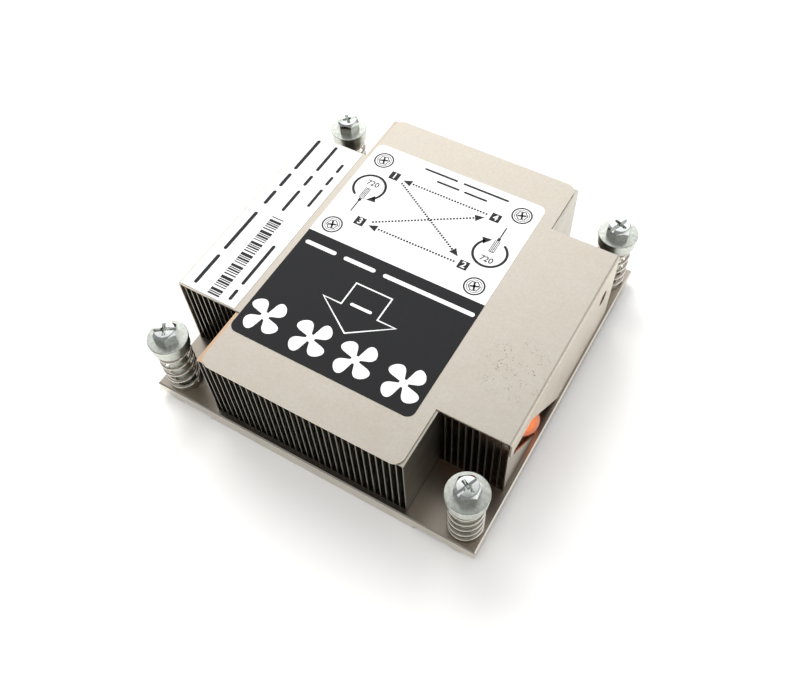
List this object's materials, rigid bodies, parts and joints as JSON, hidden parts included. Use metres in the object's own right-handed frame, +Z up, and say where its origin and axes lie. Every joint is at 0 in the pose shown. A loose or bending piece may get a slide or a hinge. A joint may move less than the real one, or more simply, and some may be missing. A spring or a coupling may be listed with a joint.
{
  "type": "passive server cpu heatsink",
  "caption": "Low, wide heatsink of thin upright fins on a plated base, with a cross-shaped cover, two bent heat pipes and sprung captive corner screws.",
  "frame": {"origin": "centre of the contact face on the underside of the base's thick block, which is also the centre of the screw pattern", "axes": "+Z up, out of the base towards the cover; Y along the fins and the air flow, +Y to the end with the white half of the label; X across the fins, -X to the wing with the sticker"},
  "size_m": [0.09, 0.09, 0.0282],
  "materials": {
    "base_nickel": "bright nickel plate on copper, fine milled grain",
    "cover_sheet": "plated sheet, satin, warm beige silver",
    "pipe_metal": "bare drawn copper tube, bright",
    "fin_sheet": "plated aluminium sheet, satin",
    "zinc_steel": "bright zinc plate",
    "collar_zinc": "dull zinc plate",
    "spring_steel": "drawn spring wire, bright",
    "label_film": "printed film, satin",
    "sticker_paper": "white coated paper"
  },
  "bodies": {
    "heatsink": {"base_plate": "base_nickel", "top_cover": "cover_sheet", "heat_pipe_front": "pipe_metal", "heat_pipe_back": "pipe_metal", "main_fin_01": "fin_sheet", "main_fin_02": "fin_sheet", "main_fin_03": "fin_sheet", "main_fin_04": "fin_sheet", "main_fin_05": "fin_sheet", "main_fin_06": "fin_sheet", "main_fin_07": "fin_sheet", "main_fin_08": "fin_sheet", "main_fin_09": "fin_sheet", "main_fin_10": "fin_sheet", "main_fin_11": "fin_sheet", "main_fin_12": "fin_sheet", "main_fin_13": "fin_sheet", "main_fin_14": "fin_sheet", "main_fin_15": "fin_sheet", "main_fin_16": "fin_sheet", "main_fin_17": "fin_sheet", "main_fin_18": "fin_sheet", "main_fin_19": "fin_sheet", "main_fin_20": "fin_sheet", "main_fin_21": "fin_sheet", "main_fin_22": "fin_sheet", "main_fin_23": "fin_sheet", "main_fin_24": "fin_sheet", "main_fin_25": "fin_sheet", "main_fin_26": "fin_sheet", "main_fin_27": "fin_sheet", "main_fin_28": "fin_sheet", "main_fin_29": "fin_sheet", "main_fin_30": "fin_sheet", "main_fin_31": "fin_sheet", "main_fin_32": "fin_sheet", "left_wing_fins": "fin_sheet", "right_wing_fins": "fin_sheet", "guide_label": "label_film", "wing_sticker": "sticker_paper", "spring_1": "spring_steel", "spring_2": "spring_steel", "spring_3": "spring_steel", "spring_4": "spring_steel"},
    "seat_1": {"collar_1": "collar_zinc"},
    "fastener_1": {"screw_1": "zinc_steel", "ring_1": "spring_steel"},
    "seat_2": {"collar_2": "collar_zinc"},
    "fastener_2": {"screw_2": "zinc_steel", "ring_2": "spring_steel"},
    "seat_3": {"collar_3": "collar_zinc"},
    "fastener_3": {"screw_3": "zinc_steel", "ring_3": "spring_steel"},
    "seat_4": {"collar_4": "collar_zinc"},
    "fastener_4": {"screw_4": "zinc_steel", "ring_4": "spring_steel"}
  },
  "joints": [
    {"name": "press_1", "type": "slide", "parent": "heatsink", "child": "seat_1", "axis": [0, 0, -1], "range_m": [0, 0.004], "stiffness_N_per_m": 2200, "springref_m": -0.0015, "deforming": ["spring_1"]},
    {"name": "turn_1", "type": "hinge", "parent": "seat_1", "child": "fastener_1", "pos_m": [-0.04, 0.04, 0.0218], "axis": [0, 0, 1], "continuous": true},
    {"name": "press_2", "type": "slide", "parent": "heatsink", "child": "seat_2", "axis": [0, 0, -1], "range_m": [0, 0.004], "stiffness_N_per_m": 2200, "springref_m": -0.0015, "deforming": ["spring_2"]},
    {"name": "turn_2", "type": "hinge", "parent": "seat_2", "child": "fastener_2", "pos_m": [0.04, -0.04, 0.0218], "axis": [0, 0, 1], "continuous": true},
    {"name": "press_3", "type": "slide", "parent": "heatsink", "child": "seat_3", "axis": [0, 0, -1], "range_m": [0, 0.004], "stiffness_N_per_m": 2200, "springref_m": -0.0015, "deforming": ["spring_3"]},
    {"name": "turn_3", "type": "hinge", "parent": "seat_3", "child": "fastener_3", "pos_m": [-0.04, -0.04, 0.0218], "axis": [0, 0, 1], "continuous": true},
    {"name": "press_4", "type": "slide", "parent": "heatsink", "child": "seat_4", "axis": [0, 0, -1], "range_m": [0, 0.004], "stiffness_N_per_m": 2200, "springref_m": -0.0015, "deforming": ["spring_4"]},
    {"name": "turn_4", "type": "hinge", "parent": "seat_4", "child": "fastener_4", "pos_m": [0.04, 0.04, 0.0218], "axis": [0, 0, 1], "continuous": true}
  ]
}
